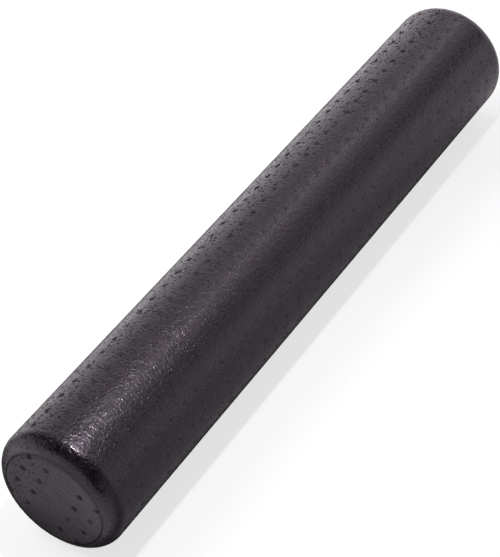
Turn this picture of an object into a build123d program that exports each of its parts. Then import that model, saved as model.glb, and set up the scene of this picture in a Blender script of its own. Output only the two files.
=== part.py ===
"""Foam massage roller, moulded in one shot from expanded polypropylene beads.

The roller lies on its side. Millimetres, +Z up, +X along the roller.
The origin is on the floor, under the middle of the roller.
"""
from build123d import *
import os

# Driving dimensions
LENGTH = 914.4            # 36 inches, face to face
DIAMETER = 152.4          # 6 inches
RIM_RADIUS = 21.0         # rounding between the barrel and each end face
SKIN_THICKNESS = 2.0      # dense layer of beads fused flat against the mould wall
END_PLATE_RADIUS = 60.5   # witness line left by the edge of the mould's end plate

# Worked-out dimensions
RADIUS = DIAMETER / 2
HALF_LENGTH = LENGTH / 2


def lying_rod(length, radius, rim_radius):
    """A solid rod along X at axle height, with both rims rounded."""
    rod = Rotation(0, 90, 0) * Cylinder(radius, length)
    rims = rod.edges().filter_by(GeomType.CIRCLE)
    return Pos(0, 0, RADIUS) * fillet(rims, rim_radius)


def bead_core():
    """The light inside of the roller, where the beads keep their round shape."""
    return lying_rod(
        LENGTH - 2 * SKIN_THICKNESS,
        RADIUS - SKIN_THICKNESS,
        RIM_RADIUS - SKIN_THICKNESS,
    )


def whole_skin():
    """The dense closed skin all round the core."""
    return lying_rod(LENGTH, RADIUS, RIM_RADIUS) - bead_core()


def end_plate_cylinder():
    """The space in line with both end plates of the mould."""
    reach = Rotation(0, 90, 0) * Cylinder(END_PLATE_RADIUS, 2 * LENGTH)
    return Pos(0, 0, RADIUS) * reach


def barrel_skin():
    """The skin of the barrel and of both rounded rims, up to the witness lines."""
    return whole_skin() - end_plate_cylinder()


def end_skin(side):
    """The round end face inside its witness line: side is -1 for near, +1 for far."""
    both_ends = whole_skin() & end_plate_cylinder()
    return both_ends.solids().sort_by(Axis.X)[0 if side < 0 else -1]


def write_part(node, shape):
    """Write one node as parts/NODE.step, as a single plain solid."""
    solid = shape.solid()
    solid.label = node
    export_step(solid, f"parts/{node}.step")


os.makedirs("parts", exist_ok=True)
write_part("bead_core", bead_core())
write_part("barrel_skin", barrel_skin())
write_part("near_end_skin", end_skin(-1))
write_part("far_end_skin", end_skin(+1))
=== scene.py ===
"""Foam massage roller moulded from black beads: skin, steam vent marks, ends, core and stage.

Metres throughout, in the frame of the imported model: X along the roller, Z up, floor at z = 0.
Angles round the roller run from +Y towards +Z.
"""
import math

import bpy
import numpy as np
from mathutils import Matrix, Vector, geometry


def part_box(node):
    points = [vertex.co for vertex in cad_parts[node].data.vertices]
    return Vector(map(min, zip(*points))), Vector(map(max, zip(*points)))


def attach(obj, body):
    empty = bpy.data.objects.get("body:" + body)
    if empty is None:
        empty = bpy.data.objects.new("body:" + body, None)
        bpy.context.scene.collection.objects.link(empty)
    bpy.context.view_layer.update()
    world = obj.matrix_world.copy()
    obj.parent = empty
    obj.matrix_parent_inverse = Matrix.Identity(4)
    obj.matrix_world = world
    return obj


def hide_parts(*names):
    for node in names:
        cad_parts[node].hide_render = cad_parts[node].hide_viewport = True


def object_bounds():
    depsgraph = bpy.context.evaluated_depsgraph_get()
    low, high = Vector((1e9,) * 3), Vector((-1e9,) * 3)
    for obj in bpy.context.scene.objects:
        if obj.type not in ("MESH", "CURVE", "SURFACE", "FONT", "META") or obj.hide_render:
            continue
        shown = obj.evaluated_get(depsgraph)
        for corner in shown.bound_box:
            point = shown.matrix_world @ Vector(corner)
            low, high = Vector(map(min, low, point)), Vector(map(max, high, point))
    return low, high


bl_info = {
    "name": "Moulded Bead Foam Roller",
    "version": (1, 0, 0),
    "blender": (4, 5, 0),
    "location": "View3D > Sidebar > Foam Roller",
    "description": "Builds a foam roller's skin, steam vent marks, ends and core, and its stage",
    "category": "Add Mesh",
}

BODY = "root"
BAKE_MAP = "OFBake"
TINY = 1e-9

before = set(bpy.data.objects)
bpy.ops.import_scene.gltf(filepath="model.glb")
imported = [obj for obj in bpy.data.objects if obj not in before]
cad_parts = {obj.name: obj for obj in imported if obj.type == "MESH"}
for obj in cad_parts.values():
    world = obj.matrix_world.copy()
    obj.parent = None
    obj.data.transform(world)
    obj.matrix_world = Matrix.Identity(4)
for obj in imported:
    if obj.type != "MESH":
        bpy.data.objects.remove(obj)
CAD_LOW, CAD_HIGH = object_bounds()
CORE_LOW, CORE_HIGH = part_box("bead_core")
END_LOW, END_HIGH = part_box("near_end_skin")

LENGTH = CAD_HIGH.x - CAD_LOW.x
RADIUS = (CAD_HIGH.z - CAD_LOW.z) / 2
NEAR_END = CAD_LOW.x
AXIS_HEIGHT = CAD_LOW.z + RADIUS
SKIN_THICKNESS = CORE_LOW.x - CAD_LOW.x
WITNESS_RADIUS = (END_HIGH.z - END_LOW.z) / 2


# ---------------------------------------------------------------- settings

def length_setting(name, description, default, low=0.0):
    """A length, in metres."""
    return bpy.props.FloatProperty(
        name=name, description=description, default=default, min=low, unit="LENGTH")


def share_setting(name, description, default):
    """A share from 0 to 1."""
    return bpy.props.FloatProperty(
        name=name, description=description, default=default, min=0.0, max=1.0, subtype="FACTOR")


def angle_setting(name, description, degrees):
    """An angle, with its default in degrees."""
    return bpy.props.FloatProperty(
        name=name, description=description, default=math.radians(degrees), subtype="ANGLE")


def plain_setting(name, description, default):
    """A slope, a brightness or a power, never below 0."""
    return bpy.props.FloatProperty(name=name, description=description, default=default, min=0.0)


def count_setting(name, description, default):
    """A whole number."""
    return bpy.props.IntProperty(name=name, description=description, default=default, min=1)


def colour_setting(name, description, *default):
    """A colour, as red, green and blue."""
    return bpy.props.FloatVectorProperty(
        name=name, description=description, default=default, size=3, min=0.0, max=1.0,
        subtype="COLOR")


class RollerSkinSettings(bpy.types.PropertyGroup):
    """Shape of the moulded skin."""
    rim_radius: length_setting(
        "Rim Radius", "Rounding between the barrel and each end face", 0.021, 0.001)
    bead_size: length_setting("Bead Size", "Typical width of one pressed bead", 0.0042, 0.001)
    bead_bulge: length_setting("Bead Bulge", "Height of a bead's middle above its edge", 0.00012)
    bead_tilt: plain_setting("Bead Tilt", "Slope by which a bead's flat face may lean", 0.10)
    grain_depth: length_setting(
        "Grain Depth", "Depth of the uneven surface left by the steam", 0.00012)
    pit_depth: length_setting("Pit Depth", "Depth of the small voids between beads", 0.0007)
    pit_radius: length_setting("Pit Radius", "Size of those voids", 0.0019, 0.0001)
    pit_spacing: length_setting(
        "Pit Spacing", "Distance between one void and the next", 0.0048, 0.001)
    smooth_half: share_setting(
        "Voids on the Smooth Half", "Share of voids on the better filled half", 0.16)
    smooth_ends: share_setting("Voids on the Ends", "Share of voids on the end faces", 0.2)
    groove_depth: length_setting(
        "Witness Groove Depth", "Depth of the line round each end plate", 0.0003)
    groove_width: length_setting(
        "Witness Groove Half Width", "From that line's bottom to its edge", 0.0018, 0.0001)
    fine_step: length_setting("Fine Step", "Mesh spacing beside a vent mark", 0.0007, 0.0003)
    coarse_step: length_setting(
        "Coarse Step", "Mesh spacing away from the vent marks", 0.0015, 0.0005)


class RollerVentSettings(bpy.types.PropertyGroup):
    """Steam vent marks left by the mould."""
    parting_angle: angle_setting(
        "Parting Angle", "Direction of the plane where the mould halves meet", 113.5)
    first_row: angle_setting("First Row", "From the parting plane to the nearest row", 13.9)
    row_step: angle_setting("Row Step", "Between one row of vents and the next", 20.4)
    rows_per_quarter: count_setting(
        "Rows per Quarter", "Rows of vents in each quarter of the mould", 4)
    pitch: length_setting("Pitch", "From one vent to the next along a row", 0.0245, 0.005)
    per_row: count_setting("Vents per Row", "Vents along the barrel", 36)
    end_column: length_setting(
        "End Column Spacing", "Spacing of vent columns on an end face", 0.0222, 0.005)
    diameter: length_setting("Diameter", "Width of the dimple round a vent mark", 0.0080, 0.001)
    depth: length_setting("Depth", "Depth of the dimple", 0.00045)
    faintest: share_setting("Faintest", "How clearly the least clear vent shows", 0.6)
    smooth_clarity: share_setting(
        "Clarity on the Smooth Half", "How clearly vents show on that half", 0.3)
    wander: length_setting(
        "Wander", "How far a vent may stand from its place in the grid", 0.0007)
    seed: count_setting("Seed", "Seed of every random choice about vents", 7)


class RollerFinishSettings(bpy.types.PropertyGroup):
    """Colours and gloss."""
    skin_colour: colour_setting(
        "Skin Colour", "Colour of the pressed beads", 0.0052, 0.0040, 0.0052)
    # Dark colour of grooves and vent marks; also the painted shade in voids, vent dimples and the
    # witness groove
    groove_colour: colour_setting(
        "Groove Colour", "Colour between beads and inside vents", 0.0015, 0.0012, 0.0015)
    core_colour: colour_setting(
        "Core Colour", "Colour of the round beads inside", 0.021, 0.019, 0.021)
    sheen_tint: colour_setting(
        "Sheen Tint", "Tint of what the skin reflects when seen straight on", 0.98, 0.85, 1.0)
    # Darkens grooves between beads as dark joints, and voids, vent dimples and the witness groove
    # as painted shade
    joint_tone_and_hollow_shade: share_setting(
        "Vent Darkness", "How much darker a vent is than the skin round it", 0.3)
    skin_roughness: share_setting("Skin Roughness", "Roughness of a pressed bead's face", 0.22)
    wrinkle_depth: length_setting(
        "Wrinkle Depth", "Depth of the fine wrinkles that make the skin glitter", 0.000030)
    wrinkle_size: length_setting(
        "Wrinkle Size", "Distance between those wrinkles", 0.0011, 0.0001)


class RollerStageSettings(bpy.types.PropertyGroup):
    """Camera, floor and lamps."""
    azimuth: angle_setting("Azimuth", "Camera's turn about Z, from looking along +Y", -58.8)
    elevation: angle_setting("Elevation", "Camera's height above the level", 42.7)
    distance: length_setting("Distance", "From the camera to its aim", 2.1256, 0.5)
    aim: bpy.props.FloatVectorProperty(
        name="Aim", description="Point that the camera looks at",
        default=(-0.0650, 0.0013, 0.0762), size=3, subtype="XYZ", unit="LENGTH")
    lens: plain_setting("Lens", "Focal length in millimetres on a 36 mm sensor", 118.3)
    floor_colour: colour_setting("Floor Colour", "Colour of the pale floor", 0.90, 0.90, 0.90)
    # Scales the floor's painted shade and light where the roller mirrors it
    floor_painted_sheen: share_setting(
        "Floor in Sheen", "How bright the floor is where the roller mirrors it", 0.75)
    # Painted light: a white glow that only the camera sees lightens the floor's shadow
    painted_shadow_lift: share_setting(
        "Shadow Lift", "How far the shadow on the floor is lightened", 0.72)
    room_light: plain_setting("Room Light", "Brightness of the pale surroundings", 1.06)
    strip_glow: plain_setting("Low Wall Light", "Brightness of the wall at the back left", 1.25)
    front_glow: plain_setting(
        "Front Wall Light", "Brightness of the low wall on the camera's side", 0.65)
    dark_light: plain_setting(
        "Dark Side Light", "Brightness of the dark side, above the near end", 0.02)
    window_light: plain_setting(
        "Window Light", "Strength of the broad light from the back left", 3.0)
    strip_light: plain_setting(
        "Strip Light", "Power of the softbox beyond the far end, in watts", 4.0)
    spot_light: plain_setting(
        "Spot Light", "Power of the small lamp above the near end, in watts", 9.5)


# ---------------------------------------------------------------- node helpers

MIDDLE = (0.5, 0.5, 0.5)
FIRST = (1.0, 0.0, 0.0)
WHITE = (1.0, 1.0, 1.0, 1.0)


def plug(tree, value, socket):
    """Links a socket to another, or sets its value."""
    if isinstance(value, bpy.types.NodeSocket):
        tree.links.new(value, socket)
    else:
        socket.default_value = value


def add(tree, kind, inputs=None, **settings):
    """A new node with its settings and its inputs, given by socket name or number."""
    node = tree.nodes.new(kind)
    for name, value in settings.items():
        setattr(node, name, value)
    for name, value in (inputs or {}).items():
        plug(tree, value, node.inputs[name])
    return node


def maths(tree, operation, first, *others):
    """One Math node's output, or a chain's where there are more than two values."""
    for other in others:
        node = add(tree, "ShaderNodeMath", {0: first, 1: other}, operation=operation)
        first = node.outputs[0]
    return first


def vector_maths(tree, operation, *values):
    """First output of one Vector Math node."""
    node = add(tree, "ShaderNodeVectorMath", dict(enumerate(values)), operation=operation)
    return node.outputs["Value" if operation == "DOT_PRODUCT" else "Vector"]


def scaled(tree, vector, scale):
    """A vector times a number."""
    inputs = {0: vector, "Scale": scale}
    return add(tree, "ShaderNodeVectorMath", inputs, operation="SCALE").outputs[0]


def ramp(tree, value, low, high, at_low=0.0, at_high=1.0):
    """A smooth step of a value between two limits."""
    inputs = {"Value": value, "From Min": low, "From Max": high,
              "To Min": at_low, "To Max": at_high}
    return add(tree, "ShaderNodeMapRange", inputs, interpolation_type="SMOOTHSTEP").outputs[0]


def noise(tree, place, waves, detail):
    """Cloudy pattern with that many waves per metre."""
    return add(tree, "ShaderNodeTexNoise", {"Vector": place, "Scale": waves, "Detail": detail})


def stored(tree, name, data_type="FLOAT"):
    """What the piece's points store under a name, in a shader or in geometry nodes."""
    if tree.type == "SHADER":
        return add(tree, "ShaderNodeAttribute", attribute_name=name).outputs["Fac"]
    node = add(tree, "GeometryNodeInputNamedAttribute", {"Name": name}, data_type=data_type)
    return node.outputs[0]


def blend_colours(tree, factor, first, second, blend_type="MIX"):
    """Mixes two colours."""
    node = add(tree, "ShaderNodeMix", data_type="RGBA", blend_type=blend_type)
    plug(tree, factor, node.inputs[0])
    plug(tree, first, node.inputs[6])
    plug(tree, second, node.inputs[7])
    return node.outputs[2]


def new_group(name, kind, inputs, outputs):
    """An empty node group: a socket's name with its default number, or with its kind."""
    tree = bpy.data.node_groups.new(name, kind)
    for in_out, sockets in (("INPUT", inputs), ("OUTPUT", outputs)):
        for socket_name, value in sockets.items():
            socket_kind = {float: "Float", int: "Int"}.get(type(value), value)
            item = tree.interface.new_socket(
                socket_name, in_out=in_out, socket_type="NodeSocket" + socket_kind)
            if socket_kind != value:
                item.default_value = value
    return tree, tree.nodes.new("NodeGroupInput").outputs, tree.nodes.new("NodeGroupOutput").inputs


def close_tree(tree, shape, given, result):
    """Ends a geometry tree: makes its instances real and gives the shape its material."""
    whole = add(tree, "GeometryNodeRealizeInstances", {"Geometry": shape.outputs[0]})
    done = add(tree, "GeometryNodeSetMaterial",
               {"Geometry": whole.outputs[0], "Material": given["Material"]})
    plug(tree, done.outputs[0], result[0])
    tree.is_modifier = True
    return tree


def opaque(colour):
    """A colour property as red, green, blue and alpha."""
    return (*colour, 1.0)


def once(store, name, make, *values):
    """A group or material by name, made the first time that it is asked for."""
    return store.get(name) or make(name, *values)


# ---------------------------------------------------------------- bead pattern

BEND_WAVES = 0.7      # waves of the bend in the bead pattern, per bead
BEAD_DISORDER = 0.9   # how far beads stray from an even lattice
ROUNDED_SHARE = 0.28  # how far in from its edge a bead is rounded, per bead size
PIT_FLOOR = 0.3       # radius of a void's flat bottom, per radius of the void
PIT_RARITY = 6.0      # how few of the voids are deep
PIT_LEAST = 0.16      # strength of the shallowest void
GRAIN_WAVES = 420.0   # waves per metre of the uneven surface


def bead_cells(tree, place, size):
    """The pattern of pressed beads at a place, the same in a shader and in geometry nodes.

    Returns the distance to the bead's edge, a random colour for the bead, and the place
    measured from the bead's middle. Lengths are in metres.
    """
    frequency = maths(tree, "DIVIDE", 1.0, size)
    bends = noise(tree, place, maths(tree, "MULTIPLY", frequency, BEND_WAVES), 1.0)
    bent = vector_maths(tree, "SUBTRACT", bends.outputs["Color"], MIDDLE)
    bent_place = vector_maths(tree, "ADD", place, scaled(tree, bent, size))
    shared = {"Vector": bent_place, "Scale": frequency, "Randomness": BEAD_DISORDER}
    edge = add(tree, "ShaderNodeTexVoronoi", shared, feature="DISTANCE_TO_EDGE")
    bead = add(tree, "ShaderNodeTexVoronoi", shared, feature="F1")
    edge_distance = maths(tree, "MULTIPLY", edge.outputs["Distance"], size)
    from_middle = vector_maths(tree, "SUBTRACT", bent_place, bead.outputs["Position"])
    return edge_distance, bead.outputs["Color"], from_middle


def pit_mask(tree, place, spacing, radius, share):
    """Voids between beads: 1 in the middle of a deep one, less in a shallow one, 0 elsewhere.

    The share is 1 where the skin is full of them, and less where it filled better.
    """
    frequency = maths(tree, "DIVIDE", 1.0, spacing)
    pits = add(tree, "ShaderNodeTexVoronoi",
               {"Vector": place, "Scale": frequency, "Randomness": 1.0}, feature="F1")
    distance = maths(tree, "MULTIPLY", pits.outputs["Distance"], spacing)
    shape = ramp(tree, distance, maths(tree, "MULTIPLY", radius, PIT_FLOOR), radius, 1.0, 0.0)
    chance = vector_maths(tree, "DOT_PRODUCT", pits.outputs["Color"], FIRST)
    strength = maths(tree, "ADD", maths(tree, "POWER", chance, PIT_RARITY), PIT_LEAST)
    return maths(tree, "MULTIPLY", strength, share, shape)


def relief_tree(name):
    """Geometry nodes that press the bead pattern, pits and dimples into a smooth skin."""
    tree, given, result = new_group(
        name, "GeometryNodeTree",
        {"Skin": "Geometry", "Bead Size": 0.004, "Bead Bulge": 0.0002, "Bead Tilt": 0.1,
         "Grain Depth": 0.0001, "Pit Spacing": 0.005, "Pit Radius": 0.0012,
         "Pit Depth": 0.0005, "Material": "Material"},
        {"Skin": "Geometry"})
    place = add(tree, "GeometryNodeInputPosition").outputs[0]
    edge_distance, bead_colour, from_middle = bead_cells(tree, place, given["Bead Size"])
    edge_reach = maths(tree, "MULTIPLY", given["Bead Size"], ROUNDED_SHARE)
    hollow = ramp(tree, edge_distance, 0.0, edge_reach, 1.0, 0.0)
    hollow = maths(tree, "MULTIPLY", hollow, given["Bead Bulge"])
    lean = vector_maths(tree, "SUBTRACT", bead_colour, MIDDLE)
    lean = vector_maths(tree, "DOT_PRODUCT", lean, from_middle)
    lean = maths(tree, "MULTIPLY", lean, given["Bead Tilt"])
    grain = noise(tree, place, GRAIN_WAVES, 2.0).outputs[0]
    grain = maths(tree, "MULTIPLY", grain, given["Grain Depth"])
    pits = pit_mask(tree, place, given["Pit Spacing"], given["Pit Radius"],
                    stored(tree, "voids"))
    pits = maths(tree, "MULTIPLY", pits, given["Pit Depth"])

    relief = maths(tree, "MAXIMUM", maths(tree, "ADD", hollow, lean, grain, pits), 0.0)
    relief = maths(tree, "MULTIPLY", relief, maths(tree, "SUBTRACT", 1.0, stored(tree, "vent")))
    depth = maths(tree, "ADD", relief, stored(tree, "sunk"))
    inward = scaled(tree, stored(tree, "outward", "FLOAT_VECTOR"),
                    maths(tree, "MULTIPLY", depth, -1.0))
    moved = add(tree, "GeometryNodeSetPosition", {"Geometry": given["Skin"], "Offset": inward})
    return close_tree(tree, moved, given, result)


def apply_tree(piece, tree, values):
    """Runs a geometry tree on a piece with its inputs by name, and keeps the plain result."""
    modifier = piece.modifiers.new(tree.name, "NODES")
    modifier.node_group = tree
    for item in tree.interface.items_tree:
        if item.in_out == "INPUT" and item.name in values:
            modifier[item.identifier] = values[item.name]
    piece.update_tag()
    depsgraph = bpy.context.evaluated_depsgraph_get()
    mesh = bpy.data.meshes.new_from_object(
        piece.evaluated_get(depsgraph), preserve_all_data_layers=True, depsgraph=depsgraph)
    piece.modifiers.remove(modifier)
    blank = piece.data
    piece.data = mesh
    mesh.name = piece.name
    bpy.data.meshes.remove(blank)
    if not mesh.polygons:
        raise RuntimeError(f"{piece.name}: the geometry tree left no faces")
    return piece


# ---------------------------------------------------------------- mesh helpers

RULER_STEP = 0.0001   # step of the ruler on which a graded spacing is worked out


def new_piece(name, points, faces, uv=None, **attributes):
    """A smooth mesh object with an optional bake map and point attributes.

    An attribute with fewer values than points is 0 on the points that are left.
    """
    mesh = bpy.data.meshes.new(name)
    mesh.from_pydata(points.tolist(), [], [face for block in faces for face in block.tolist()])
    mesh.polygons.foreach_set("use_smooth", np.ones(len(mesh.polygons), bool))
    if uv is not None:
        layer = mesh.uv_layers.new(name=BAKE_MAP)
        layer.uv.foreach_set("vector", np.concatenate([u.reshape(-1) for u in uv]))
    for attribute, values in attributes.items():
        kind, key = ("FLOAT", "value") if values.ndim == 1 else ("FLOAT_VECTOR", "vector")
        filled = np.zeros((len(points), *values.shape[1:]))
        filled[:len(values)] = values
        slot = mesh.attributes.new(attribute, kind, "POINT")
        slot.data.foreach_set(key, filled.reshape(-1))
    mesh.update()
    piece = bpy.data.objects.new(name, mesh)
    bpy.context.collection.objects.link(piece)
    return piece


def graded(length, centres, reach, skin):
    """Places from 0 to length, closer together within reach of each centre."""
    ruler = np.linspace(0.0, length, int(length / RULER_STEP) + 1)
    gap = np.abs(ruler[:, None] - np.asarray(centres)[None, :]).min(axis=1)
    density = np.where(gap < reach, 1.0 / skin.fine_step, 1.0 / skin.coarse_step)
    steps = np.cumsum(0.5 * (density[1:] + density[:-1]) * np.diff(ruler))
    count = np.concatenate([[0.0], steps])
    return np.interp(np.linspace(0.0, count[-1], round(count[-1]) + 1), count, ruler)


def outline_length(length, radius, rim):
    """Length of a rod's outline from pole to pole."""
    return 2 * (radius - rim + rim * math.pi / 2) + length - 2 * rim


def from_pole(distance, radius, rim):
    """How far along a rod's outline it is that distance from the axis, up to its rims."""
    flat = radius - rim
    turn = np.arcsin(np.clip((distance - flat) / rim, 0.0, 1.0))
    return np.minimum(distance, flat) + rim * turn


def inner_rod(skin):
    """Length, radius and rim of the rod inside the skin."""
    thickness = SKIN_THICKNESS
    return LENGTH - 2 * thickness, RADIUS - thickness, skin.rim_radius - thickness


def rod_outline(along, length, radius, rim):
    """Outline of a rod with rounded rims, from pole to pole by distance along it.

    Returns the place from the near end, the distance from the axis, and the outward
    normal's two parts, along the rod and away from it.
    """
    flat = radius - rim
    quarter = rim * math.pi / 2
    total = outline_length(length, radius, rim)
    to_pole = np.minimum(along, total - along)
    turn = np.clip((to_pole - flat) / rim, 0.0, math.pi / 2)
    x = rim * (1 - np.cos(turn)) + np.maximum(to_pole - flat - quarter, 0.0)
    r = np.minimum(to_pole, flat) + rim * np.sin(turn)
    near_half = along <= total / 2
    x = np.where(near_half, x, length - x)
    along_normal = np.where(near_half, -np.cos(turn), np.cos(turn))
    return x, r, along_normal, np.sin(turn)


def revolve(x, r, angles):
    """Points of an outline turned about the roller's axis, one row of angles per place."""
    across, up = np.cos(angles), np.sin(angles)
    points = np.empty((len(x), len(angles), 3))
    points[..., 0] = np.asarray(x)[:, None]
    points[..., 1] = np.asarray(r)[:, None] * across
    points[..., 2] = np.asarray(r)[:, None] * up
    return points


def on_roller(points):
    """Moves points from the axis's own frame to the roller's place."""
    return points.reshape(-1, 3) + np.array([NEAR_END, 0.0, AXIS_HEIGHT])


def strip_faces(rows, columns, closed_rows):
    """Outward quads of a grid that closes round its columns, and round its rows if asked."""
    row = np.arange(rows if closed_rows else rows - 1)[:, None]
    column = np.arange(columns)[None, :]
    next_row, next_column = (row + 1) % rows, (column + 1) % columns
    corners = [row * columns + column, row * columns + next_column,
               next_row * columns + next_column, next_row * columns + column]
    return np.stack(np.broadcast_arrays(*corners), axis=-1).reshape(-1, 4)


def strip_uv(u, v):
    """Bake map of strip_faces: u has a value for each row's edges, v for each column's."""
    low_u, high_u = np.asarray(u)[:-1, None], np.asarray(u)[1:, None]
    low_v, high_v = np.asarray(v)[None, :-1], np.asarray(v)[None, 1:]
    corners = [(low_u, low_v), (low_u, high_v), (high_u, high_v), (high_u, low_v)]
    return np.stack([np.stack(np.broadcast_arrays(*c), axis=-1) for c in corners], axis=2)


# ---------------------------------------------------------------- vent layout

FAINT_DEPTH = 0.4        # depth of a dimple that doesn't show, as a share of the full depth
SAUCER_FLAT = 1.6        # the larger, the flatter a dimple's bottom
MARK_EDGE = 2.5          # the larger, the crisper the edge of a dimple's mask
LINE_EDGE = 1.5          # the same for the witness line's mask
HALF_START = -0.010      # from the parting plane to where the pitted half begins
HALF_BLEND = 0.060       # width over which it takes over
END_COLUMNS = np.array([-2, -1, 1, 2])           # per column spacing
END_ROWS = np.array([-1.5, -0.5, 0.5, 1.5])      # per pitch
STRENGTH_SEED = 10       # keeps the strengths' random draws apart from the places'


def vent_rows(vents):
    """Angle of each row of vents, mirrored on the parting plane and square to it."""
    quarter = vents.first_row + vents.row_step * np.arange(vents.rows_per_quarter)
    half = np.concatenate([quarter, math.pi - quarter[::-1]])
    both = np.concatenate([half, -half[::-1]])
    return np.sort((vents.parting_angle + both) % (2 * math.pi))


def barrel_vents(vents):
    """Grid of vents on the barrel: (rows, vents per row, 2) of angle and place along X."""
    random = np.random.default_rng(vents.seed)
    span = (vents.per_row - 1) * vents.pitch
    places = LENGTH / 2 - span / 2 + vents.pitch * np.arange(vents.per_row)
    grid = np.stack(np.meshgrid(vent_rows(vents), places, indexing="ij"), axis=-1)
    wander = vents.wander * random.uniform(-1, 1, grid.shape)
    return grid + wander / np.array([RADIUS, 1.0])


def end_vents(vents, side):
    """Places of the vents on an end face, across and up from the axis."""
    random = np.random.default_rng(vents.seed + side)
    grid = np.meshgrid(vents.end_column * END_COLUMNS, vents.pitch * END_ROWS, indexing="ij")
    grid = np.stack(grid, axis=-1).reshape(-1, 2)
    grid = grid + vents.wander * random.uniform(-1, 1, grid.shape)
    along = np.array([math.cos(vents.parting_angle), math.sin(vents.parting_angle)])
    square = np.array([along[1], -along[0]])
    return grid[:, :1] * square + grid[:, 1:] * along


def dimple(distance, vents, strength):
    """(depth, mask) of a vent's shallow saucer at a distance from its middle."""
    inside = np.clip(1 - (2 * distance / vents.diameter) ** 2, 0.0, 1.0)
    depth = vents.depth * (FAINT_DEPTH + (1 - FAINT_DEPTH) * strength)
    mask = strength * np.minimum(MARK_EDGE * inside, 1.0)
    return depth * np.minimum(SAUCER_FLAT * inside, 1.0), mask


def strengths(vents, count, side=0):
    """How clearly each of a number of vents shows, before the mould's half is counted."""
    random = np.random.default_rng(vents.seed + STRENGTH_SEED + side)
    return random.uniform(vents.faintest, 1.0, count)


def barrel_strengths(vents, grid):
    """How clearly each vent of the barrel's grid shows."""
    half = pitted_half(RADIUS * np.cos(grid[..., 0]), RADIUS * np.sin(grid[..., 0]), vents)
    share = vents.smooth_clarity + (1 - vents.smooth_clarity) * half
    return strengths(vents, half.size).reshape(half.shape) * share


def pitted_half(across, up, vents):
    """1 on the half of the mould that filled less well, 0 on the other, smooth between them."""
    beyond = across * math.sin(vents.parting_angle) - up * math.cos(vents.parting_angle)
    step = np.clip((beyond - HALF_START) / HALF_BLEND, 0.0, 1.0)
    return step * step * (3 - 2 * step)


def witness_dip(distance, skin):
    """(depth, mask) of the witness groove at a distance from its bottom."""
    inside = np.clip(1 - distance / skin.groove_width, 0.0, 1.0)
    return skin.groove_depth * inside, np.minimum(LINE_EDGE * inside, 1.0)


# ---------------------------------------------------------------- materials

FOAM_IOR = 1.49
GROOVE_WIDTH = 0.00042          # of the fine groove between two beads
GROOVE_BUMP = 0.00008           # how deep that groove looks
GROOVE_GLOOM = 0.3              # how dull and dark it is, from 0 to 1
PIT_GLOOM = 6.0                 # the larger, the sooner a shallow void counts as dull
DULL_ROUGHNESS = 0.35           # roughness that a groove, void or vent adds
BEAD_TINT = 0.22                # how far a bead's own tint counts
CLOUD_WAVES = 55.0              # waves per metre of the uneven gloss
CORE_GROOVE_WIDTH = 0.0009
CORE_GROOVE_BUMP = 0.0003
CORE_GROOVE_GLOOM = 0.8
CORE_PIT_SPACING = 0.007
CORE_PIT_RADIUS = 0.0012
CORE_WRINKLE_SIZE = 0.0008
VENT_WRINKLE_SIZE = 0.0006
GRIME_WAVES = 900.0             # waves per metre of the grime in a vent
WRINKLE_GRIT = 0.6              # how much the finest wrinkles count
WRINKLE_CELLS = 0.6             # broad folds per fine wrinkle

# Ramps: from, to, and the value at each. Facing runs from 0 straight on to 1 at a glance.
PIT_BY_FACING = (0.25, 0.65, 0.04, 0.95)
VENT_BY_FACING = (0.27, 0.6, 0.06, 1.0)
SKIN_BY_FACING = (0.72, 0.95, 0.0, 0.75)
SKIN_LEVEL = (0.0, 1.0, 0.5, 0.02)
VENT_LEVEL = (0.0, 1.0, 0.5, 0.09)
BEAD_SHADE = (0.0, 1.0, 0.75, 1.3)
BEAD_GLOSS = (0.0, 1.0, -0.04, 0.04)
CLOUD_GLOSS = (0.3, 0.7, -0.05, 0.07)
GRIME_COLOUR = (0.35, 0.65)
GRIME_GLOSS = (0.3, 0.7, 0.15, 0.35)
CORE_SHADE = (0.0, 1.0, 0.6, 1.4)
CORE_GLOSS = (0.0, 1.0, 0.5, 0.7)


def mosaic_group(name):
    """Shader group: fine grooves between beads, pits, and a random shade for each bead."""
    tree, given, result = new_group(
        name, "ShaderNodeTree",
        {"Place": "Vector", "Bead Size": 0.004, "Groove Width": 0.0003, "Pit Spacing": 0.010,
         "Pit Radius": 0.0009, "Pit Share": 1.0},
        {"Groove": "Float", "Pit": "Float", "Shade": "Float", "Tint": "Color"})
    edge_distance, bead_colour, _ = bead_cells(tree, given["Place"], given["Bead Size"])
    outputs = {
        "Groove": ramp(tree, edge_distance, 0.0, given["Groove Width"], 1.0, 0.0),
        "Pit": pit_mask(tree, given["Place"], given["Pit Spacing"], given["Pit Radius"],
                        given["Pit Share"]),
        "Shade": vector_maths(tree, "DOT_PRODUCT", bead_colour, FIRST),
        "Tint": bead_colour,
    }
    for socket_name, value in outputs.items():
        plug(tree, value, result[socket_name])
    return tree


def wrinkle_group(name):
    """Shader group: height of the fine wrinkles of steamed foam, in metres."""
    tree, given, result = new_group(
        name, "ShaderNodeTree",
        {"Place": "Vector", "Size": 0.001, "Depth": 0.00002}, {"Height": "Float"})
    frequency = maths(tree, "DIVIDE", 1.0, given["Size"])
    fine = noise(tree, given["Place"], frequency, 2.0)
    fine.inputs["Roughness"].default_value = WRINKLE_GRIT
    folds = maths(tree, "MULTIPLY", frequency, WRINKLE_CELLS)
    broad = add(tree, "ShaderNodeTexVoronoi", {"Vector": given["Place"], "Scale": folds},
                feature="F1")
    height = maths(tree, "ADD", fine.outputs[0], broad.outputs["Distance"])
    plug(tree, maths(tree, "MULTIPLY", height, given["Depth"]), result["Height"])
    return tree


def use_group(tree, name, make, **values):
    """Outputs of a placed node group; a value's name has _ for each space."""
    node = add(tree, "ShaderNodeGroup", node_tree=once(bpy.data.node_groups, name, make))
    for key, value in values.items():
        plug(tree, value, node.inputs[key.replace("_", " ")])
    return node.outputs


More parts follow.
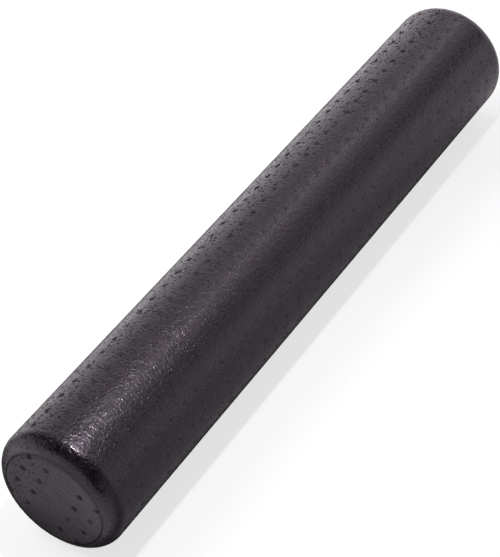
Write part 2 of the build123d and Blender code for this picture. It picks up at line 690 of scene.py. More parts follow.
def mosaic(tree, place, bead_size, groove_width, **pits):
    """The bead mosaic's outputs in a material."""
    return use_group(tree, "Bead Mosaic", mosaic_group, Place=place, Bead_Size=bead_size,
                     Groove_Width=groove_width, **pits)


def wrinkles(tree, place, size, settings):
    """Height of the fine wrinkles in a material."""
    return use_group(tree, "Steam Wrinkles", wrinkle_group, Place=place, Size=size,
                     Depth=settings.wrinkle_depth)["Height"]


def new_material(name):
    """A material with its tree, its Principled shader and its Object coordinates."""
    material = bpy.data.materials.new(name)
    material.use_nodes = True
    tree = material.node_tree
    shader = tree.nodes["Principled BSDF"]
    return material, tree, shader, add(tree, "ShaderNodeTexCoord").outputs["Object"]


def close_material(tree, shader, settings, height, colour, roughness):
    """Feeds the shader what varies, and sets what is the same all over the foam."""
    bump = add(tree, "ShaderNodeBump", {"Height": height, "Distance": 1.0, "Strength": 1.0})
    plug(tree, bump.outputs[0], shader.inputs["Normal"])
    plug(tree, colour, shader.inputs["Base Color"])
    plug(tree, roughness, shader.inputs["Roughness"])
    shader.inputs["IOR"].default_value = FOAM_IOR
    shader.inputs["Specular Tint"].default_value = opaque(settings.sheen_tint)


def dull_marks(tree, groove, pit, line):
    """Mask of all that is dull in the skin but its vents."""
    pit = maths(tree, "MINIMUM", maths(tree, "MULTIPLY", pit, PIT_GLOOM), 1.0)
    return maths(tree, "MAXIMUM", maths(tree, "MULTIPLY", groove, GROOVE_GLOOM), pit, line)


def facing_ramp(tree, limits):
    """A ramp by how far the surface turns away from the view."""
    facing = add(tree, "ShaderNodeLayerWeight", {"Blend": 0.5}).outputs["Facing"]
    return ramp(tree, facing, *limits)


def skin_level(tree, place, skin, voids, vent, line):
    """Specular level: falls off in pits, grooves and vents, and at a glance.

    Its masks come from nodes of the material's own tree, not from the mosaic group.
    """
    edge_distance, _, _ = bead_cells(tree, place, skin.bead_size)
    groove = ramp(tree, edge_distance, 0.0, GROOVE_WIDTH, 1.0, 0.0)
    pit = pit_mask(tree, place, skin.pit_spacing, skin.pit_radius, voids)
    marks = dull_marks(tree, groove, pit, line)
    marks = maths(tree, "MULTIPLY", marks, facing_ramp(tree, PIT_BY_FACING))
    vent = maths(tree, "MULTIPLY", vent, facing_ramp(tree, VENT_BY_FACING))
    shaded = maths(tree, "MAXIMUM", marks, vent, facing_ramp(tree, SKIN_BY_FACING))
    return ramp(tree, shaded, *SKIN_LEVEL)


def skin_material(name, settings, skin):
    """Black skin of pressed beads: satin faces, dark grooves, pits and fine wrinkles."""
    material, tree, shader, place = new_material(name)
    voids, vent, line = (stored(tree, key) for key in ("voids", "vent", "witness"))
    cells = mosaic(tree, place, skin.bead_size, GROOVE_WIDTH, Pit_Spacing=skin.pit_spacing,
                   Pit_Radius=skin.pit_radius, Pit_Share=voids)
    dull = maths(tree, "MAXIMUM", dull_marks(tree, cells["Groove"], cells["Pit"], line), vent)

    tint = blend_colours(tree, BEAD_TINT, WHITE, cells["Tint"], "OVERLAY")
    colour = blend_colours(tree, 1.0, opaque(settings.skin_colour), tint, "MULTIPLY")
    colour = scaled(tree, colour, ramp(tree, cells["Shade"], *BEAD_SHADE))
    # Darker towards the groove colour: in grooves between beads as dark joints, and in voids, vent
    # dimples and the witness groove as painted shade in those hollows
    colour = blend_colours(tree, maths(tree, "MULTIPLY", dull, settings.joint_tone_and_hollow_shade), colour,
                           opaque(settings.groove_colour))

    cloud = noise(tree, place, CLOUD_WAVES, 3.0).outputs[0]
    roughness = maths(tree, "ADD", ramp(tree, cloud, *CLOUD_GLOSS), settings.skin_roughness,
                      ramp(tree, cells["Shade"], *BEAD_GLOSS),
                      maths(tree, "MULTIPLY", dull, DULL_ROUGHNESS))
    height = maths(tree, "ADD", maths(tree, "MULTIPLY", cells["Groove"], -GROOVE_BUMP),
                   maths(tree, "MULTIPLY", cells["Pit"], -skin.pit_depth),
                   wrinkles(tree, place, settings.wrinkle_size, settings))
    close_material(tree, shader, settings, height, colour, roughness)
    plug(tree, skin_level(tree, place, skin, voids, vent, line),
         shader.inputs["Specular IOR Level"])
    return material


def vent_material(name, settings):
    """Dull dark foam pressed into the slots of a steam vent."""
    material, tree, shader, place = new_material(name)
    clear = stored(tree, "clear")
    grime = noise(tree, place, GRIME_WAVES, 3.0).outputs[0]
    colour = blend_colours(tree, ramp(tree, grime, *GRIME_COLOUR),
                           opaque(settings.groove_colour), opaque(settings.skin_colour))
    matt = maths(tree, "MULTIPLY", ramp(tree, grime, *GRIME_GLOSS), clear)
    roughness = maths(tree, "ADD", matt, settings.skin_roughness)
    height = wrinkles(tree, place, VENT_WRINKLE_SIZE, settings)
    close_material(tree, shader, settings, height, colour, roughness)
    shaded = maths(tree, "MULTIPLY", clear, facing_ramp(tree, VENT_BY_FACING))
    plug(tree, ramp(tree, shaded, *VENT_LEVEL), shader.inputs["Specular IOR Level"])
    return material


def core_material(name, settings, skin):
    """Dull round beads, fused where they touch."""
    material, tree, shader, place = new_material(name)
    cells = mosaic(tree, place, skin.bead_size, CORE_GROOVE_WIDTH,
                   Pit_Spacing=CORE_PIT_SPACING, Pit_Radius=CORE_PIT_RADIUS)
    # Darker in grooves between the round beads, as dark joints, and in voids, as painted shade in
    # those hollows
    groove = maths(tree, "MULTIPLY", cells["Groove"], CORE_GROOVE_GLOOM)
    dark = maths(tree, "MAXIMUM", groove, cells["Pit"])
    colour = scaled(tree, tuple(settings.core_colour), ramp(tree, cells["Shade"], *CORE_SHADE))
    colour = blend_colours(tree, dark, colour, opaque(settings.groove_colour))
    height = maths(tree, "ADD", wrinkles(tree, place, CORE_WRINKLE_SIZE, settings),
                   maths(tree, "MULTIPLY", dark, -CORE_GROOVE_BUMP))
    close_material(tree, shader, settings, height, colour,
                   ramp(tree, cells["Shade"], *CORE_GLOSS))
    return material


def foam_piece(piece, node):
    """Attaches a foam piece to its body, and hides the model's part that it stands for."""
    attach(piece, BODY)
    if node:
        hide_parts(node)


def press(piece, scene, make, name, node, slot, **changes):
    skin = scene.roller_skin
    names = ("Bead Size", "Bead Bulge", "Bead Tilt", "Grain Depth", "Pit Spacing",
             "Pit Radius", "Pit Depth")
    values = {key: getattr(skin, key.lower().replace(" ", "_")) for key in names}
    values["Material"] = once(bpy.data.materials, name, make, scene.roller_finish, skin)
    values.update({key.replace("_", " "): value for key, value in changes.items()})
    apply_tree(piece, once(bpy.data.node_groups, "bead_relief", relief_tree), values)
    foam_piece(piece, node)


def press_skin(piece, scene, node):
    """The same for a piece of the skin, which keeps the corners of its cut edges crisp."""
    press(piece, scene, skin_material, "pressed_bead_skin", node, "moulded_skin")
    piece.data.set_sharp_from_angle(angle=CORNER_ANGLE)


# ---------------------------------------------------------------- pieces

CORNER_ANGLE = math.radians(55)    # sharper corners than this stay crisp
FINE_REACH = 0.58                  # radius of the finer mesh round a vent, per dimple width
LIP = np.array([0.0, 0.5, 1.0])    # mesh lines across one side of the witness groove
SKIN_MAP = 0.97                    # share of the bake map that the outside takes
INSIDE_MAP = 0.975                 # where the inside's share of it begins
RIM_LINES = 8                      # mesh lines over each inner rim
INNER_LINES = 20                   # mesh lines along the inside of the barrel


def wrapped(angle):
    """An angle brought to between half a turn back and half a turn on."""
    return (angle + math.pi) % (2 * math.pi) - math.pi


def barrel_surface(skin, vents):
    """Grid lines, outline, outward normals, dips, vent mask and line mask of the outside."""
    whole = outline_length(LENGTH, RADIUS, skin.rim_radius)
    witness = from_pole(WITNESS_RADIUS, RADIUS, skin.rim_radius)
    grid = barrel_vents(vents)
    straight_start = RADIUS - skin.rim_radius + skin.rim_radius * (math.pi / 2 - 1)
    reach = vents.diameter * FINE_REACH
    start = witness + 2 * skin.groove_width
    middle = graded(whole - 2 * start, grid[0, :, 1] + straight_start - start, reach, skin)
    lip = skin.groove_width * LIP
    along = np.concatenate([witness + lip, middle + start, whole - witness - lip[::-1]])
    around = graded(2 * math.pi * RADIUS, vent_rows(vents) * RADIUS, reach, skin)[:-1] / RADIUS
    x, r, normal_x, normal_r = rod_outline(along, LENGTH, RADIUS, skin.rim_radius)

    rows, places = grid[..., 0], grid[..., 1]
    row = np.abs(wrapped(around[:, None] - rows.mean(axis=1)[None])).argmin(axis=1)
    column = np.clip(np.round((x - places.mean(axis=0)[0]) / vents.pitch), 0, vents.per_row - 1)
    pick = np.ix_(column.astype(int), row)
    across = RADIUS * wrapped(around[None] - rows.T[pick])
    strength = barrel_strengths(vents, grid)
    depth, mask = dimple(np.hypot(x[:, None] - places.T[pick], across), vents, strength.T[pick])
    to_witness = np.minimum(along - witness, whole - witness - along)
    line_depth, line_mask = witness_dip(to_witness, skin)
    sunk = depth + line_depth[:, None]
    return along, around, (x, r), (normal_x, normal_r), sunk, mask, line_mask


def barrel_inside(skin, around):
    """Points of the barrel's inner wall, from its far edge to its near one."""
    length, radius, rim = inner_rod(skin)
    start = from_pole(WITNESS_RADIUS, radius, rim)
    whole = outline_length(length, radius, rim)
    rim_lines = start + (rim * math.pi / 2) * np.linspace(0, 1, RIM_LINES)
    straight = np.linspace(rim_lines[-1], whole - rim_lines[-1], INNER_LINES)[1:-1]
    along = np.concatenate([rim_lines, straight, whole - rim_lines[::-1]])[::-1]
    x, r, _, _ = rod_outline(along, length, radius, rim)
    return revolve(x + SKIN_THICKNESS, r, around)


class ROLLER_OT_barrel(bpy.types.Operator):
    """Build the barrel's skin with both rims, its bead relief and its vent dimples"""
    bl_idname = "roller.barrel"
    bl_label = "Build Barrel Skin"

    def execute(self, context):
        skin, vents = context.scene.roller_skin, context.scene.roller_vents
        along, around, outline, normals, sunk, mask, line = barrel_surface(skin, vents)
        outside = revolve(*outline, around)
        inside = barrel_inside(skin, around)
        rows, columns = len(outside) + len(inside), len(around)
        half = pitted_half(RADIUS * np.cos(around), RADIUS * np.sin(around), vents)
        distance = along - along[0]
        u = np.concatenate([SKIN_MAP * distance / distance[-1],
                            np.linspace(INSIDE_MAP, 1.0, len(inside) + 1)])
        v = np.append(around, 2 * math.pi) / (2 * math.pi)
        piece = new_piece(
            "barrel_foam_skin", on_roller(np.concatenate([outside, inside])),
            [strip_faces(rows, columns, True)], [strip_uv(u, v)],
            outward=revolve(*normals, around).reshape(-1, 3),
            sunk=sunk.reshape(-1), vent=mask.reshape(-1), witness=np.repeat(line, columns),
            voids=np.tile(skin.smooth_half + (1 - skin.smooth_half) * half, rows))
        press_skin(piece, context.scene, "barrel_skin")
        return {"FINISHED"}


LATTICE_STEP = 0.9       # mesh spacing on an end face, per coarse step
RING_TURNS = 18          # points in each ring round a vent
RINGS = (0.2, 0.3, 0.36, 0.4, 0.44, 0.48, 0.52)              # ring sizes, per dimple width
CLEAR_OF_RINGS = 0.62    # where the lattice begins again, per dimple width
CLEAR_OF_EDGE = 0.4      # gap between the lattice and the groove, per lattice step
ON_EDGE = 0.9999         # points further out than this share of the radius are the edge
BACK_RADII = np.array([1.0, 0.97, 0.93, 0.9, 0.5, 0.1])      # rings of the back
END_VOIDS = 0.6          # added to the half's share of voids on an end face
FRONT_MAP = (0.46, 0.9)  # middle and size of the front face in the bake map
BACK_MAP = (0.965, 0.06)


def circle(count):
    """Points of a circle of radius 1."""
    turns = np.linspace(0, 2 * math.pi, count, endpoint=False)
    return np.stack([np.cos(turns), np.sin(turns)], axis=-1)


def end_lattice(skin, vents, side):
    """Points over an end face: an even lattice, closer round the vents, and its edge ring."""
    step = skin.coarse_step * LATTICE_STEP
    count = int(WITNESS_RADIUS / step) + 2
    i, j = np.meshgrid(np.arange(-count, count + 1), np.arange(-count, count + 1))
    lattice = np.stack([(i + 0.5 * (j % 2)) * step, j * step * math.sqrt(3) / 2], axis=-1)
    lattice = lattice.reshape(-1, 2)
    middles = end_vents(vents, side)
    gap = np.linalg.norm(lattice[:, None] - middles[None], axis=2).min(axis=1)
    lattice = lattice[gap > vents.diameter * CLEAR_OF_RINGS]
    rings = np.concatenate([circle(RING_TURNS) * vents.diameter * size for size in RINGS])
    lattice = np.concatenate([lattice, middles, (middles[:, None] + rings[None]).reshape(-1, 2)])
    edges = WITNESS_RADIUS - skin.groove_width * LIP[::-1]
    lattice = lattice[np.hypot(*lattice.T) < edges[0] - CLEAR_OF_EDGE * step]
    edge = circle(round(2 * math.pi * WITNESS_RADIUS / step))
    return np.concatenate([lattice, *(edge * radius for radius in edges)]), middles


class ROLLER_OT_ends(bpy.types.Operator):
    """Build both end faces, inside the witness line of the mould's end plates"""
    bl_idname = "roller.ends"
    bl_label = "Build End Skins"

    def execute(self, context):
        skin, vents = context.scene.roller_skin, context.scene.roller_vents
        for side, name in ((-1, "near_end"), (1, "far_end")):
            piece = self.end_piece(side, name + "_foam_skin", skin, vents)
            press_skin(piece, context.scene, name + "_skin")
        return {"FINISHED"}

    def end_piece(self, side, name, skin, vents):
        """One end skin: a closed disc, dished at its edge where the rim begins."""
        flat, middles = end_lattice(skin, vents, side)
        points_2d, _, triangles, *_ = geometry.delaunay_2d_cdt(
            [Vector(p) for p in flat], [], [], 0, TINY)
        flat = np.array([tuple(p) for p in points_2d])
        distance = np.hypot(*flat.T)
        x, _, normal_x, normal_r = rod_outline(
            from_pole(distance, RADIUS, skin.rim_radius), LENGTH, RADIUS, skin.rim_radius)
        gaps = np.linalg.norm(flat[:, None] - middles[None], axis=2)
        strength = strengths(vents, len(middles), side)[gaps.argmin(axis=1)]
        depth, mask = dimple(gaps.min(axis=1), vents, strength)
        line_depth, line = witness_dip(WITNESS_RADIUS - distance, skin)
        away = normal_r[:, None] * flat / np.maximum(distance, TINY)[:, None]
        outward = np.column_stack([normal_x, away])
        front = np.column_stack([x, flat])

        ring = np.nonzero(distance > WITNESS_RADIUS * ON_EDGE)[0]
        ring = ring[np.argsort(np.arctan2(flat[ring, 1], flat[ring, 0]))]
        back, walls = self.back(skin, front, ring)
        cap = len(front) + len(back) - len(ring) + np.arange(len(ring))
        faces = [np.array(triangles), walls, cap[None]]
        points, faces = self.turned(np.concatenate([front, back]), faces, side)
        return new_piece(
            name, on_roller(points), faces, self.bake_map(points, faces),
            outward=self.mirror(outward, side), sunk=depth + line_depth, vent=mask, witness=line,
            voids=skin.smooth_ends * (END_VOIDS + pitted_half(points[:, 1], points[:, 2], vents)))

    def back(self, skin, front, ring):
        """Points of the back in rings, and the quads from the front's edge to the last one."""
        radii = WITNESS_RADIUS * BACK_RADII
        length, radius, rim = inner_rod(skin)
        x, _, _, _ = rod_outline(from_pole(radii, radius, rim), length, radius, rim)
        edge = front[ring, 1:]
        direction = edge / np.hypot(*edge.T)[:, None]
        back = np.concatenate([
            np.column_stack([np.full(len(ring), depth + SKIN_THICKNESS), direction * size])
            for depth, size in zip(x, radii)])
        rings = [ring] + [len(front) + k * len(ring) + np.arange(len(ring))
                          for k in range(len(radii))]
        walls = [np.stack([a, b, np.roll(b, -1), np.roll(a, -1)], axis=-1)
                 for a, b in zip(rings[:-1], rings[1:])]
        return back, np.concatenate(walls)

    @staticmethod
    def mirror(vectors, side):
        """Directions for the near end, or mirrored for the far end."""
        return vectors * np.array([-side, 1.0, 1.0])

    def turned(self, points, faces, side):
        """Puts the disc at its end of the roller with its faces outward."""
        if side < 0:
            return points, [face[:, ::-1] for face in faces]
        far = self.mirror(points, side)
        far[:, 0] += LENGTH
        return far, faces

    @staticmethod
    def bake_map(points, faces):
        """Front face over most of the map, walls and back in a corner of it."""
        plan = points[:, 1:] / (2 * WITNESS_RADIUS)
        maps = [middle + size * plan for middle, size in (FRONT_MAP, BACK_MAP, BACK_MAP)]
        return [one[face] for one, face in zip(maps, faces)]


BUTTON = 0.28            # radius of a vent mark, per dimple width
BEVEL = 0.16             # width of its bevel, per radius
RISE = 0.35              # height of its steps, per dimple depth
TOP = 0.45               # how deep its top lies, per dimple depth
STAMP_TURNS = 14
BARS = ((-0.42, 0.62), (0.0, 0.8), (0.42, 0.62))   # offset and half length, per radius
BAR_WIDTH = 0.11         # half the width of a bar, per radius
BAR_TAPER = 0.7          # size of a bar's top, per its foot
MARK_SIZES = {"Smallest": 0.92, "Largest": 1.06}
MAP_SIZE = 3.4           # width of a mark's square in the bake map, per radius
MAP_SKIRT = 0.3          # how far its lower points spread there, per rise


def vent_stamp(vents):
    """The round mark inside a dimple: a bevelled button with three raised bars."""
    button = vents.diameter * BUTTON
    rise = vents.depth * RISE
    turns = np.linspace(0, 2 * math.pi, STAMP_TURNS, endpoint=False)
    rings = [(button, -2 * rise), (button, -rise), (button - button * BEVEL, 0.0)]
    points = [[r * math.cos(t), r * math.sin(t), z] for r, z in rings for t in turns]
    faces = strip_faces(len(rings), STAMP_TURNS, False).tolist()
    faces.append(list(range(STAMP_TURNS))[::-1])
    faces.append([2 * STAMP_TURNS + i for i in range(STAMP_TURNS)])
    for offset, half_length in BARS:
        faces += bar_faces(points, offset * button, half_length * button,
                           button * BAR_WIDTH, rise)
    mesh = bpy.data.meshes.new("vent_stamp")
    mesh.from_pydata(points, [], faces)
    layer = mesh.uv_layers.new(name=BAKE_MAP)
    for loop in mesh.loops:
        point = Vector(points[loop.vertex_index])
        plan = point.xy * (1.0 - MAP_SKIRT * point.z / rise) / (MAP_SIZE * button)
        layer.uv[loop.index].vector = plan + Vector(MIDDLE[:2])
    stamp = bpy.data.objects.new("vent_stamp", mesh)
    bpy.context.collection.objects.link(stamp)
    return stamp


def spread_bake_map(piece, count):
    """Gives each of a piece's equal marks a square of its own in the bake map."""
    layer = piece.data.uv_layers[BAKE_MAP]
    cells = math.ceil(math.sqrt(count))
    uv = np.empty(2 * len(layer.uv), np.float32)
    layer.uv.foreach_get("vector", uv)
    uv = uv.reshape(count, -1, 2)
    number = np.arange(count)
    corner = np.stack([number % cells, number // cells], axis=-1)
    layer.uv.foreach_set("vector", ((uv + corner[:, None]) / cells).astype(np.float32).reshape(-1))


def bar_faces(points, offset, half_length, half_width, height):
    """Adds a small raised bar to a list of points, and returns its faces."""
    first = len(points)
    for z, shrink in ((-height, 1.0), (height, BAR_TAPER)):
        for x, y in ((-1, -1), (1, -1), (1, 1), (-1, 1)):
            points.append([x * half_length * shrink, offset + y * half_width * shrink, z])
    sides = [[first + i, first + (i + 1) % 4, first + 4 + (i + 1) % 4, first + 4 + i]
             for i in range(4)]
    return sides + [[first + i for i in (3, 2, 1, 0)], [first + 4 + i for i in range(4)]]


def vent_tree(name):
    """Geometry nodes that set a vent mark on each point, standing along its normal."""
    tree, given, result = new_group(
        name, "GeometryNodeTree",
        {"Places": "Geometry", "Stamp": "Object", "Smallest": 0.9, "Largest": 1.1, "Seed": 1,
         "Material": "Material"},
        {"Marks": "Geometry"})
    outward = stored(tree, "outward", "FLOAT_VECTOR")
    upright = add(tree, "FunctionNodeAlignRotationToVector", {"Vector": outward}, axis="Z")
    spin = add(tree, "FunctionNodeRandomValue", {3: math.pi, "Seed": given["Seed"]},
               data_type="FLOAT")
    about = add(tree, "ShaderNodeCombineXYZ", {"Z": spin.outputs[1]})
    turned = add(tree, "FunctionNodeRotateRotation",
                 {"Rotation": upright.outputs[0], "Rotate By": about.outputs[0]},
                 rotation_space="LOCAL")
    size = add(tree, "FunctionNodeRandomValue",
               {2: given["Smallest"], 3: given["Largest"],
                "Seed": maths(tree, "ADD", given["Seed"], 1.0)}, data_type="FLOAT")
    stamp = add(tree, "GeometryNodeObjectInfo", {"Object": given["Stamp"]})
    marks = add(tree, "GeometryNodeInstanceOnPoints",
                {"Points": given["Places"], "Instance": stamp.outputs["Geometry"],
                 "Rotation": turned.outputs[0], "Scale": size.outputs[1]})
    return close_tree(tree, marks, given, result)


class ROLLER_OT_vents(bpy.types.Operator):
    """Set the round steam vent marks into the dimples of the barrel and both ends"""
    bl_idname = "roller.vents"
    bl_label = "Build Steam Vent Marks"

    def execute(self, context):
        vents = context.scene.roller_vents
        material = once(bpy.data.materials, "steam_vent_mark", vent_material,
                        context.scene.roller_finish)
        stamp, tree = vent_stamp(vents), vent_tree("vent_marks")
        top = vents.depth * TOP

        rows = barrel_vents(vents)
        clear = barrel_strengths(vents, rows).reshape(-1)
        angle, along = rows.reshape(-1, 2).T
        direction = np.column_stack([np.zeros(len(angle)), np.cos(angle), np.sin(angle)])
        barrel = direction * (RADIUS - top)
        barrel[:, 0] = along
        layouts = [("barrel_vent_marks", barrel, direction, clear)]
        for side, name in ((-1, "near_end_vent_marks"), (1, "far_end_vent_marks")):
            middles = end_vents(vents, side)
            x = top if side < 0 else LENGTH - top
            places = np.column_stack([np.full(len(middles), x), middles])
            outward = np.tile([float(side), 0.0, 0.0], (len(middles), 1))
            layouts.append((name, places, outward, strengths(vents, len(middles), side)))

        for number, (name, places, outward, clear) in enumerate(layouts):
            piece = new_piece(name, on_roller(places), [], outward=outward, clear=clear)
            apply_tree(piece, tree, {**MARK_SIZES, "Stamp": stamp,
                                     "Seed": vents.seed + number, "Material": material})
            spread_bake_map(piece, len(places))
            foam_piece(piece, None)
        bpy.data.objects.remove(stamp)
        return {"FINISHED"}


CORE_STEP = 0.0026       # mesh spacing on the core
CORE_BULGE = 3.5         # height of its round beads, per bulge of a pressed one
CORE_TILT = 0.05


class ROLLER_OT_core(bpy.types.Operator):
    """Build the light inside of the roller, where the beads keep their round shape"""
    bl_idname = "roller.core"
    bl_label = "Build Bead Core"

    def execute(self, context):
        skin = context.scene.roller_skin
        length, radius, rim = inner_rod(skin)
        whole = outline_length(length, radius, rim)
        along = np.linspace(0, whole, round(whole / CORE_STEP) + 1)[1:-1]
        columns = round(2 * math.pi * radius / CORE_STEP)
        around = np.linspace(0, 2 * math.pi, columns, endpoint=False)
        x, r, normal_x, normal_r = rod_outline(along, length, radius, rim)
        rows = len(along)
        points = on_roller(revolve(x + SKIN_THICKNESS, r, around))
        last = (rows - 1) * columns + np.arange(columns)
        faces = [strip_faces(rows, columns, False), np.arange(columns)[None, ::-1], last[None]]
        v = np.append(around, 2 * math.pi) / (2 * math.pi)
        pole = np.zeros((columns, 2))
        piece = new_piece(
            "round_bead_core", points, faces, [strip_uv(along / whole, v), pole, pole + 1.0],
            outward=revolve(normal_x, normal_r, around).reshape(-1, 3),
            voids=np.ones(len(points)))
        press(piece, context.scene, core_material, "round_bead_foam", "bead_core",
              "bead_interior", Bead_Bulge=CORE_BULGE * skin.bead_bulge, Bead_Tilt=CORE_TILT)
        return {"FINISHED"}


# ---------------------------------------------------------------- stage

# Ramps: from, to, and the brightness at each. The first six are of the floor in the sheen: painted
# shade and light.
FRONT_BY_X = (0.30, 0.62, 0.52, 0.9)
FRONT_BY_Y = (-0.05, 0.1, 1.0, 0.5)
BEHIND_BY_X = (-0.3, 0.6, 1.5, 2.0)
FRONT_TO_BEHIND = (0.15, 0.4)
FAR_BEARING = (0.15, 0.45, 0.4, 1.0)
NEAR_BEARING = (-0.45, -0.15, 1.0, 0.4)
# Painted light on the floor in the sheen, in front of the near end
NEAR_END_BOOST = (-0.5, -0.46, 0.52, 0.0)
FLOOR_CLOUDS = (0.3, 0.7, 0.985, 1.0)
FLOOR_WAVES = 3.0
BACK_WALL_BY_Y = (0.1, 0.6)
BACK_WALL_BY_HEIGHT = (0.3, 0.7, 0.3, -0.42)
LOW_WALL_SIDE = (0.4, 0.72)
LOW_WALL_TOP = (0.3, 0.55)
FRONT_WALL_SIDE = (-0.98, -0.75, 1.0, 0.0)
FRONT_WALL_TOP = (0.1, 0.6)
FRONT_WALL_LEAST = 0.2

# Directions from the roller, each with its ramp by how nearly it is followed
SEAM = (0.0, -0.629, 0.777), (0.93, 0.99, 0.0, -0.38)
GAP = (0.770, -0.480, 0.420), (0.975, 0.992, 0.0, -0.3)
BEYOND = (0.999, -0.035, 0.0), (0.2, 0.58)
BACK_LEFT = (-0.819, 0.574, 0.0), LOW_WALL_SIDE

# Tint of the room's light, and of the floor's painted colour where the roller mirrors it
SHEEN_LIGHT = (1.0, 0.95, 1.0)
FLOOR_HALF = 8.0
WINDOW_PLACE = (-0.3, 2.0, 1.9)
WINDOW_SPREAD = math.radians(50)
STRIP_PLACE = (1.9, 0.05, 2.35)
STRIP_SIZE = {"shape": "RECTANGLE", "size": 0.7, "size_y": 1.6}
SPOT_SIZE = {"shape": "DISK", "size": 0.07}
SPOT_TARGET = Vector((NEAR_END + 0.02, 0, 2 * RADIUS))
SPOT_TOWARDS = Vector((math.cos(math.radians(73)), -0.06, math.sin(math.radians(73))))
SPOT_DISTANCE = 1.1


def floor_material(stage):
    """Pale matt floor with the faintest cloudiness, painted shade and light by place in the
    roller's sheen, and a painted glow to the camera.
    """
    material, tree, shader, place = new_material("pale_floor")
    cloud = noise(tree, place, FLOOR_WAVES, 2.0).outputs[0]
    path = add(tree, "ShaderNodeLightPath").outputs
    parts = add(tree, "ShaderNodeSeparateXYZ", {0: place}).outputs
    # Painted shade and painted light: where the roller mirrors it, the floor is darker on its
    # front side and lighter behind it
    in_front = maths(tree, "MULTIPLY", ramp(tree, parts["X"], *FRONT_BY_X),
                     ramp(tree, parts["Y"], *FRONT_BY_Y))
    behind = ramp(tree, parts["X"], *BEHIND_BY_X)
    painted_sheen = ramp(tree, parts["Y"], *FRONT_TO_BEHIND, in_front, behind)
    from_end = vector_maths(tree, "ADD", place, (-NEAR_END, 0.0, 0.0))
    from_end = vector_maths(tree, "NORMALIZE", from_end)
    bearing = add(tree, "ShaderNodeSeparateXYZ", {0: from_end}).outputs["X"]
    wedge = maths(tree, "MAXIMUM", ramp(tree, bearing, *FAR_BEARING),
                  ramp(tree, bearing, *NEAR_BEARING))
    painted_sheen = maths(tree, "MULTIPLY", painted_sheen, wedge)
    painted_sheen = maths(tree, "ADD", painted_sheen, ramp(tree, parts["X"], *NEAR_END_BOOST))
    painted_sheen = maths(tree, "MULTIPLY", painted_sheen, stage.floor_painted_sheen)
    # Only glossy rays see that painted colour; to the camera and to bounced light the floor stays
    # plain
    seen = blend_colours(tree, path["Is Glossy Ray"], WHITE, scaled(tree, SHEEN_LIGHT, painted_sheen))
    colour = blend_colours(tree, 1.0, opaque(stage.floor_colour), seen, "MULTIPLY")
    colour = scaled(tree, colour, ramp(tree, cloud, *FLOOR_CLOUDS))
    plug(tree, colour, shader.inputs["Base Color"])
    shader.inputs["Roughness"].default_value = 0.9
    shader.inputs["Specular IOR Level"].default_value = 0.1
    # Painted light: a white glow that only the camera sees, lightening the floor's shadow
    glow = add(tree, "ShaderNodeEmission", {"Color": WHITE, "Strength": 1.0})
    lift = maths(tree, "MULTIPLY", path["Is Camera Ray"], stage.painted_shadow_lift)
    both = add(tree, "ShaderNodeMixShader", {0: lift, 1: shader.outputs[0], 2: glow.outputs[0]})
    plug(tree, both.outputs[0], tree.nodes["Material Output"].inputs["Surface"])
    return material


def lobe(tree, direction, axis, limits):
    """A ramp by how nearly a direction follows an axis."""
    return ramp(tree, vector_maths(tree, "DOT_PRODUCT", direction, axis), *limits)


def room_world(stage):
    """Pale room beyond the far end, low walls at the back left and in front, dark elsewhere."""
    world = bpy.data.worlds.new("studio")
    world.use_nodes = True
    tree = world.node_tree
    background = tree.nodes["Background"]
    direction = add(tree, "ShaderNodeTexCoord").outputs["Generated"]
    parts = add(tree, "ShaderNodeSeparateXYZ", {0: direction}).outputs
    height = parts["Z"]
    back_wall = maths(tree, "MULTIPLY", ramp(tree, parts["Y"], *BACK_WALL_BY_Y),
                      ramp(tree, height, *BACK_WALL_BY_HEIGHT))
    across = vector_maths(tree, "MULTIPLY", direction, (0.0, 1.0, 1.0))
    across = vector_maths(tree, "NORMALIZE", across)
    uneven = maths(tree, "ADD", back_wall, 1.0, lobe(tree, across, *SEAM),
                   lobe(tree, direction, *GAP))
    beyond = maths(tree, "MULTIPLY", lobe(tree, direction, *BEYOND), stage.room_light, uneven)
    low_wall = maths(tree, "MULTIPLY", lobe(tree, direction, *BACK_LEFT),
                     ramp(tree, height, *LOW_WALL_TOP, stage.strip_glow, 0.0))
    front = maths(tree, "MULTIPLY", ramp(tree, parts["Y"], *FRONT_WALL_SIDE),
                  ramp(tree, height, *FRONT_WALL_TOP, stage.front_glow, FRONT_WALL_LEAST))
    lit = maths(tree, "MAXIMUM", beyond, low_wall, front, stage.dark_light)
    seen = add(tree, "ShaderNodeLightPath").outputs["Is Camera Ray"]
    plug(tree, ramp(tree, seen, 0.0, 1.0, lit, 1.0), background.inputs["Strength"])
    tint = blend_colours(tree, seen, (*SHEEN_LIGHT, 1.0), WHITE)
    plug(tree, tint, background.inputs["Color"])
    return world


def aim_at(item, place, target):
    """Puts a lamp or camera at a place, looking at a target."""
    item.location = place
    item.rotation_euler = (Vector(target) - Vector(place)).to_track_quat("-Z", "Y").to_euler()
    bpy.context.collection.objects.link(item)


def add_lamp(name, kind, power, place, target, **form):
    """A lamp at a place, pointing at a target."""
    lamp = bpy.data.lights.new(name, kind)
    lamp.energy = power
    for key, value in form.items():
        setattr(lamp, key, value)
    holder = bpy.data.objects.new(name, lamp)
    aim_at(holder, place, target)
    return holder


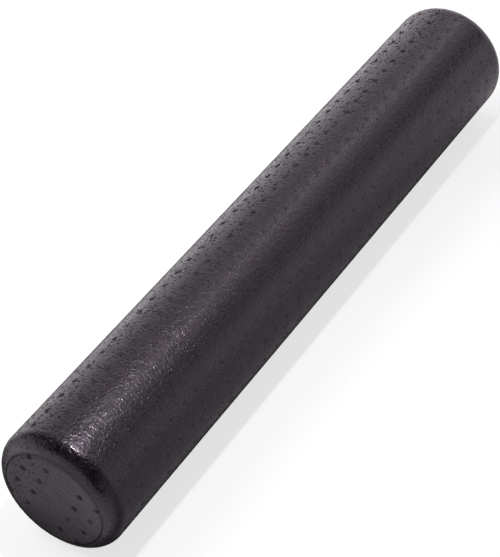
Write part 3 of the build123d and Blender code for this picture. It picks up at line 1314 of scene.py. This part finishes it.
class ROLLER_OT_stage(bpy.types.Operator):
    """Build the pale floor, the room, the lamps and the camera"""
    bl_idname = "roller.stage"
    bl_label = "Build Stage"

    def execute(self, context):
        scene, stage = context.scene, context.scene.roller_stage
        corners = FLOOR_HALF * np.array([[-1, -1, 0], [1, -1, 0], [1, 1, 0], [-1, 1, 0]])
        floor = new_piece("pale_floor", corners, [np.array([[0, 1, 2, 3]])])
        floor.data.materials.append(floor_material(stage))
        scene.world = room_world(stage)
        scene.view_settings.view_transform = "Standard"

        window = add_lamp("window", "SUN", stage.window_light, WINDOW_PLACE, (0, 0, 0),
                          angle=WINDOW_SPREAD)
        window.visible_glossy = False
        add_lamp("strip", "AREA", stage.strip_light, STRIP_PLACE, (0, 0, RADIUS), **STRIP_SIZE)
        add_lamp("spot", "AREA", stage.spot_light, SPOT_TARGET + SPOT_TOWARDS * SPOT_DISTANCE,
                 SPOT_TARGET, **SPOT_SIZE)

        camera = bpy.data.cameras.new("camera")
        camera.lens, camera.sensor_width = stage.lens, 36.0
        back = Vector((math.sin(stage.azimuth) * math.cos(stage.elevation),
                       -math.cos(stage.azimuth) * math.cos(stage.elevation),
                       math.sin(stage.elevation)))
        aim = Vector(stage.aim)
        scene.camera = bpy.data.objects.new("camera", camera)
        aim_at(scene.camera, aim + back * stage.distance, aim)
        return {"FINISHED"}


# ---------------------------------------------------------------- panel

class ROLLER_PT_panel(bpy.types.Panel):
    """Buttons and settings for the roller"""
    bl_idname = "ROLLER_PT_panel"
    bl_label = "Foam Roller"
    bl_space_type = "VIEW_3D"
    bl_region_type = "UI"
    bl_category = "Foam Roller"

    def draw(self, context):
        for operator in OPERATORS:
            self.layout.operator(operator.bl_idname)
        for name in SETTINGS:
            box = self.layout.box()
            group = getattr(context.scene, name)
            for key in group.bl_rna.properties.keys():
                if key not in {"rna_type", "name"}:
                    box.prop(group, key)


SETTINGS = {
    "roller_skin": RollerSkinSettings,
    "roller_vents": RollerVentSettings,
    "roller_finish": RollerFinishSettings,
    "roller_stage": RollerStageSettings,
}
OPERATORS = (ROLLER_OT_barrel, ROLLER_OT_ends, ROLLER_OT_vents, ROLLER_OT_core, ROLLER_OT_stage)


def register():
    """Registers the classes and hangs the settings on the scene."""
    for group in (*SETTINGS.values(), *OPERATORS, ROLLER_PT_panel):
        bpy.utils.register_class(group)
    for name, group in SETTINGS.items():
        setattr(bpy.types.Scene, name, bpy.props.PointerProperty(type=group))


def unregister():
    """Takes the settings and the classes away again."""
    for name in SETTINGS:
        delattr(bpy.types.Scene, name)
    for group in reversed((*SETTINGS.values(), *OPERATORS, ROLLER_PT_panel)):
        bpy.utils.unregister_class(group)


def main():
    """Builds every piece and the stage."""
    register()
    bpy.ops.roller.barrel()
    bpy.ops.roller.ends()
    bpy.ops.roller.vents()
    bpy.ops.roller.core()
    bpy.ops.roller.stage()


if __name__ == "__main__":
    main()
